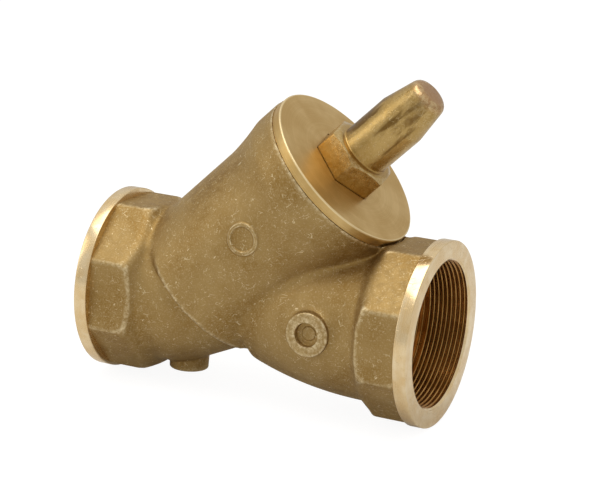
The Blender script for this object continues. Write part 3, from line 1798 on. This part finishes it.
@dataclass
class Screen:
    """The cartridge: perforated sleeve, wire cloth lining, two end rings and the strip over the seam."""

    radius: float = 28.0 * MM
    wall: float = 1.0 * MM
    low: float = 13.8 * MM
    high: float = 97.7 * MM
    holes_around: int = 32
    hole_radius: float = 1.7 * MM
    hole_sides: int = 16
    lining_radius: float = 26.7 * MM
    lining_wall: float = 0.3 * MM
    wire_pitch: float = 0.6 * MM
    ring_bore: float = 28.3 * MM
    lower_ring: float = 29.2 * MM
    upper_ring: float = 30.4 * MM
    base: float = 12.3 * MM
    lower_top: float = 20.0 * MM
    upper_foot: float = 89.2 * MM
    upper_top: float = 99.2 * MM
    lip: float = 1.2 * MM
    lip_bore: float = 25.8 * MM
    seam_width: float = 8.0 * MM
    seam_wall: float = 0.6 * MM

    def tile(self) -> bmesh.types.BMesh:
        """Makes a flat square with a round hole, one unit across, whose rim meets its neighbours' points.

        Returns:
            The tile.
        """
        shape = bmesh.new()
        eighth = Matrix.Rotation(math.pi / 4, 4, "Z")
        square = bmesh.ops.create_circle(shape, segments=4, radius=math.sqrt(0.5), matrix=eighth)
        sides = list({edge for vert in square["verts"] for edge in vert.link_edges})
        bmesh.ops.subdivide_edges(shape, edges=sides, cuts=3)
        outer = list(shape.edges)
        cell = TURN * self.radius / self.holes_around
        hole = bmesh.ops.create_circle(
            shape,
            segments=self.hole_sides,
            radius=self.hole_radius / cell,
            matrix=eighth,
        )
        inner = list({edge for vert in hole["verts"] for edge in vert.link_edges})
        bmesh.ops.bridge_loops(shape, edges=outer + inner)
        return shape

    def sleeve(self) -> None:
        """Builds the sleeve from rows of tiles, each half a tile round from the last, rolled into a tube."""
        cell = TURN * self.radius / self.holes_around
        margin = 4.2 * MM
        rows = int((self.high - self.low - 2 * margin) / (cell * 0.9))
        rise = (self.high - self.low - 2 * margin) / rows
        shape = bmesh.new()
        mesh = bpy.data.meshes.new("scratch")
        tile = self.tile()
        tile.to_mesh(mesh)
        tile.free()
        for row in range(rows):
            for column in range(self.holes_around):
                before = len(shape.verts)
                shape.from_mesh(mesh)
                shape.verts.ensure_lookup_table()
                offset = Vector((column + 0.5 * (row % 2), row + 0.5, 0))
                bmesh.ops.translate(shape, verts=shape.verts[before:], vec=offset)
        bpy.data.meshes.remove(mesh)
        bmesh.ops.remove_doubles(shape, verts=shape.verts, dist=1e-4)
        for end, push in ((0.0, -margin / rise), (float(rows), margin / rise)):
            open_edges = [edge for edge in shape.edges if edge.is_boundary]
            rim = [edge for edge in open_edges if all(abs(v.co.y - end) < 1e-3 for v in edge.verts)]
            grown = bmesh.ops.extrude_edge_only(shape, edges=rim)["geom"]
            moved = [item for item in grown if isinstance(item, bmesh.types.BMVert)]
            bmesh.ops.translate(shape, verts=moved, vec=(0, push, 0))
        for vert in shape.verts:
            angle = TURN * vert.co.x / self.holes_around
            height = self.low + margin + rise * vert.co.y
            vert.co = (self.radius * math.cos(angle), self.radius * math.sin(angle), height)
        bmesh.ops.remove_doubles(shape, verts=shape.verts, dist=10 * WELD)
        bmesh.ops.recalc_face_normals(shape, faces=shape.faces)
        if sum(face.normal.dot(face.calc_center_median() * Vector((1, 1, 0))) for face in shape.faces) < 0:
            bmesh.ops.reverse_faces(shape, faces=shape.faces)
        bmesh.ops.solidify(shape, geom=shape.faces, thickness=self.wall)
        placed(shape, BRANCH.place)
        finished(shape, "perforated_sleeve", "screen", (SHEET_STEEL,), ("screen_sleeve",))

    def lining(self) -> None:
        """Builds the wire cloth tube, with a UV map counted in wires."""
        inner = self.lining_radius - self.lining_wall
        section = [
            (self.lining_radius, self.high),
            (self.lining_radius, self.low),
            (inner, self.low),
            (inner, self.high),
        ]
        shape = turned(section, ROUND_STEPS, closed=True)
        layer = shape.loops.layers.uv.new("wires")
        around = round(TURN * self.lining_radius / self.wire_pitch / 2) * 2
        for face in shape.faces:
            middle = math.atan2(face.calc_center_median().y, face.calc_center_median().x)
            for loop in face.loops:
                angle = math.atan2(loop.vert.co.y, loop.vert.co.x)
                angle += TURN * round((middle - angle) / TURN)
                loop[layer].uv = (angle / TURN * around, loop.vert.co.z / self.wire_pitch)
        placed(shape, BRANCH.place)
        finished(shape, "wire_cloth_lining", "screen", (WIRE_CLOTH,), ("screen_mesh",))

    def rings(self) -> None:
        """Builds the two pressed end rings."""
        edge = 0.35 * MM
        lower = [
            (self.lower_ring, self.lower_top, edge),
            (self.lower_ring, self.base, 0.8 * MM),
            (self.lip_bore, self.base, edge),
            (self.lip_bore, self.base + self.lip, edge),
            (self.ring_bore, self.base + self.lip, 0.0),
            (self.ring_bore, self.lower_top, edge),
        ]
        upper = [
            (self.upper_ring, self.upper_top, 0.8 * MM),
            (self.upper_ring, self.upper_foot, edge),
            (self.ring_bore, self.upper_foot, edge),
            (self.ring_bore, self.upper_top - self.lip, 0.0),
            (self.lip_bore, self.upper_top - self.lip, edge),
            (self.lip_bore, self.upper_top, edge),
        ]
        for name, node, corners in (
            ("lower_end_ring", "screen_lower_ring", lower),
            ("upper_end_ring", "screen_upper_ring", upper),
        ):
            shape = placed(turned(rounded(corners, closed=True), RING_STEPS, closed=True), BRANCH.place)
            finished(shape, name, "screen", (SHEET_STEEL,), (node,))

    def seam(self) -> None:
        """Builds the strip over the seam, curved to the sleeve and dimpled by its spot welds."""
        low, high = self.lower_top + 0.4 * MM, self.upper_foot - 0.4 * MM
        shape = bmesh.new()
        bmesh.ops.create_grid(shape, x_segments=24, y_segments=132, size=0.5)
        welds = 7
        for vert in shape.verts:
            across, along = vert.co.x * self.seam_width, (vert.co.y + 0.5) * (high - low)
            cell = (high - low) / welds
            off = math.hypot(across, (along % cell) - cell / 2)
            sink = 0.22 * MM * max(0.0, 1 - (off / (1.6 * MM)) ** 2)
            radius = self.ring_bore + self.seam_wall * 0.95 - sink
            angle = math.pi + across / self.radius
            vert.co = (radius * math.cos(angle), radius * math.sin(angle), low + along)
        bmesh.ops.recalc_face_normals(shape, faces=shape.faces)
        if sum(face.normal.x for face in shape.faces) > 0:
            bmesh.ops.reverse_faces(shape, faces=shape.faces)
        bmesh.ops.solidify(shape, geom=shape.faces, thickness=self.seam_wall * 0.6)
        placed(shape, BRANCH.place)
        finished(shape, "seam_strip", "screen", (SHEET_STEEL,), ("screen_seam_strip",))

    def build(self) -> None:
        """Builds the whole cartridge."""
        self.sleeve()
        self.lining()
        self.rings()
        self.seam()


# The magnet rod


@dataclass
class MagnetRod:
    """The magnet rod in the cap's nose: sheath, washer, lock ring, plug, spacer and the stack."""

    radius: float = 9.0 * MM
    wall: float = 0.8 * MM
    bottom_wall: float = 1.5 * MM
    collar_radius: float = 14.6 * MM
    collar_low: float = 100.4 * MM
    collar_high: float = 101.9 * MM
    edge: float = 0.3 * MM
    magnets: int = 5
    discs: int = 4

    def heights(self, node: str) -> tuple[float, float]:
        """Reads a round node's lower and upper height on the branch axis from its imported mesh.

        Args:
            node: The node's name.

        Returns:
            The two heights.
        """
        steps = [BRANCH.local(vert.co).z for vert in frame["nodes"][node].data.vertices]
        return min(steps), max(steps)

    def widest(self, node: str) -> float:
        """Reads a round node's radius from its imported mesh.

        Args:
            node: The node's name.

        Returns:
            The radius.
        """
        return max(BRANCH.local(vert.co).xy.length for vert in frame["nodes"][node].data.vertices)

    def narrowest(self, node: str) -> float:
        """Reads a ring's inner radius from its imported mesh.

        Args:
            node: The node's name.

        Returns:
            The radius.
        """
        return min(BRANCH.local(vert.co).xy.length for vert in frame["nodes"][node].data.vertices)

    def sheath(self) -> None:
        """Builds the sheath with its rounded end and its collar."""
        bore = self.radius - self.wall
        low, high = self.heights("magnet_sheath")
        corners = [
            (0, low + self.bottom_wall, 0.0),
            (bore, low + self.bottom_wall, 0.8 * MM),
            (bore, high, 0.1 * MM),
            (self.radius, high, self.edge),
            (self.radius, self.collar_high, 0.2 * MM),
            (self.collar_radius, self.collar_high, self.edge),
            (self.collar_radius, self.collar_low, self.edge),
            (self.radius, self.collar_low, 0.2 * MM),
            (self.radius, low, 2.2 * MM),
            (0, low, 0.0),
        ]
        shape = placed(turned(rounded(corners), ROUND_STEPS), BRANCH.place)
        finished(shape, "magnet_rod_sheath", "cap", (TUBE_STEEL,), ("magnet_sheath",))

    def round_bar(self, node: str, name: str, finish: Finish, hollow: bool = False) -> None:
        """Builds one round piece with broken edges in the place of its node.

        Args:
            node: The CAD node that it stands for.
            name: The new piece's name.
            finish: Its finish.
            hollow: Whether it is a ring or a tube.
        """
        low, high = self.heights(node)
        radius = self.widest(node)
        edge = min(self.edge, (high - low) / 4)
        corners = [(radius, high, edge), (radius, low, edge)]
        if hollow:
            bore = self.narrowest(node)
            corners += [(bore, low, edge), (bore, high, edge)]
            shape = turned(rounded(corners, closed=True), SMALL_STEPS, closed=True)
        else:
            shape = turned(rounded([(0, high, 0.0), *corners, (0, low, 0.0)]), SMALL_STEPS)
        finished(placed(shape, BRANCH.place), name, "cap", (finish,), (node,))

    def build(self) -> None:
        """Builds the whole rod."""
        self.sheath()
        self.round_bar("rod_gasket", "rod_washer", RUBBER, hollow=True)
        self.round_bar("rod_lock_ring", "rod_ring_nut", CAP_THREAD, hollow=True)
        self.round_bar("rod_spacer", "rod_spacer_tube", ALUMINIUM, hollow=True)
        self.round_bar("rod_end_plug", "rod_plug", TUBE_STEEL)
        for number in range(1, self.magnets + 1):
            self.round_bar(f"magnet_{number}", f"rod_magnet_{number}", NICKEL)
        for number in range(1, self.discs + 1):
            self.round_bar(f"pole_disc_{number}", f"rod_pole_disc_{number}", SOFT_IRON)


# The room


@dataclass
class Studio:
    """The floor, the soft light and the camera."""

    target: Vector = field(default_factory=lambda: Vector((100.46, 0.42, 34.64)) * MM)
    distance: float = 1099.2 * MM
    azimuth: float = math.radians(24.197)
    elevation: float = math.radians(13.842)
    roll: float = math.radians(3.703)
    lens: float = 132.98
    floor_size: float = 30.0

    def floor(self, name: str, seen: bool, shade: float, glow: float) -> None:
        """Lays one pale floor under the lowest point.

        Args:
            name: The floor's name.
            seen: True for the floor that the camera sees, and False for the one that reflections see.
            shade: The grey of its colour.
            glow: The strength of its own light.
        """
        shape = bmesh.new()
        bmesh.ops.create_grid(shape, x_segments=1, y_segments=1, size=self.floor_size / 2)
        placed(shape, Matrix.Translation((0, 0, CAD_BOX[0].z - (0.2 if seen else 0.4) * MM)))
        mesh = bpy.data.meshes.new(name)
        shape.to_mesh(mesh)
        shape.free()
        g = Graph(name)
        patches = g.between(g.noise(0.4, 2), 0.3, 0.7)
        paler = shade + 0.02
        colour = g.blend(patches, (shade, shade, shade), (paler, paler, paler))
        light = {"Emission_Color": (1, 1, 1, 1), "Emission_Strength": glow}
        mesh.materials.append(g.dress(colour, 0.9, 0.0, **light))
        floor = bpy.data.objects.new(name, mesh)
        floor.visible_camera = seen
        floor.visible_glossy = not seen
        floor.visible_diffuse = not seen
        floor.visible_shadow = False
        bpy.context.scene.collection.objects.link(floor)

    def sky(self) -> None:
        """Surrounds the object with soft white light that is dim below."""
        world = bpy.data.worlds.new("studio")
        bpy.context.scene.world = world
        world.use_nodes = True
        nodes, links = world.node_tree.nodes, world.node_tree.links
        where = nodes.new("ShaderNodeTexCoord")
        split = nodes.new("ShaderNodeSeparateXYZ")
        ramp = nodes.new("ShaderNodeValToRGB")
        ramp.color_ramp.interpolation = "EASE"
        half = nodes.new("ShaderNodeMath")
        half.operation = "MULTIPLY_ADD"
        half.inputs[1].default_value = half.inputs[2].default_value = 0.5
        stops = ((0.0, 0.30), (0.36, 0.45), (0.50, 0.70), (0.72, 0.82), (1.0, 1.0))
        ramp.color_ramp.elements.remove(ramp.color_ramp.elements[1])
        for i, (place, level) in enumerate(stops):
            stop = ramp.color_ramp.elements[0] if i == 0 else ramp.color_ramp.elements.new(place)
            stop.position = place
            stop.color = (level, level * 0.985, level * 0.96, 1)
        links.new(where.outputs["Generated"], split.inputs[0])
        links.new(split.outputs[2], half.inputs[0])
        links.new(half.outputs[0], ramp.inputs[0])
        links.new(ramp.outputs[0], nodes["Background"].inputs[0])
        nodes["Background"].inputs[1].default_value = 0.85

    def light(self, name: str, place: Colour, size: tuple[float, float], power: float) -> None:
        """Hangs a soft box that faces the object.

        Args:
            name: The lamp's name.
            place: Its place, in metres.
            size: Its width and height.
            power: Its power in watts.
        """
        lamp = bpy.data.lights.new(name, "AREA")
        lamp.shape = "RECTANGLE"
        lamp.size, lamp.size_y = size
        lamp.energy = power
        obj = bpy.data.objects.new(name, lamp)
        obj.location = place
        obj.rotation_mode = "QUATERNION"
        obj.rotation_quaternion = (self.target - Vector(place)).to_track_quat("-Z", "Y")
        bpy.context.scene.collection.objects.link(obj)

    def camera(self) -> None:
        """Sets the camera at the shown angle."""
        a, e = self.azimuth, self.elevation
        back = Vector((math.sin(a) * math.cos(e), -math.cos(a) * math.cos(e), math.sin(e)))
        level = Vector((math.cos(a), math.sin(a), 0))
        up = back.cross(level)
        right = math.cos(self.roll) * level + math.sin(self.roll) * up
        up = back.cross(right)
        data = bpy.data.cameras.new("camera")
        data.lens = self.lens
        data.sensor_width = 36.0
        data.clip_start, data.clip_end = 0.05, 100.0
        camera = bpy.data.objects.new("camera", data)
        place = Matrix((right, up, back)).transposed().to_4x4()
        place.translation = self.target + back * self.distance
        camera.matrix_world = place
        bpy.context.scene.collection.objects.link(camera)
        bpy.context.scene.camera = camera

    def build(self) -> None:
        """Sets up the whole room."""
        self.floor("floor", seen=True, shade=0.12, glow=0.92)
        self.floor("bounce_floor", seen=False, shade=0.66, glow=0.10)
        self.sky()
        self.light("top_box", place=(-0.1, -0.25, 1.1), size=(1.0, 0.8), power=5.0)
        self.light("left_box", place=(-1.0, -0.75, 0.55), size=(0.5, 0.9), power=2.0)
        self.camera()
        bpy.context.scene.view_settings.view_transform = "Standard"


def main() -> None:
    """Builds the sub-assemblies in order, and then the room."""
    forging = Forging()
    forging.build()
    ThreadedEnd("inlet_end_ring", 0.0, 1).build()
    ThreadedEnd("outlet_end_ring", forging.length, -1).build()
    CollarThread().build()
    Cap().build()
    Gasket().build()
    Screen().build()
    MagnetRod().build()
    Studio().build()


if __name__ == "__main__":
    logging.basicConfig(level=logging.INFO, format="%(name)s: %(message)s")
    main()
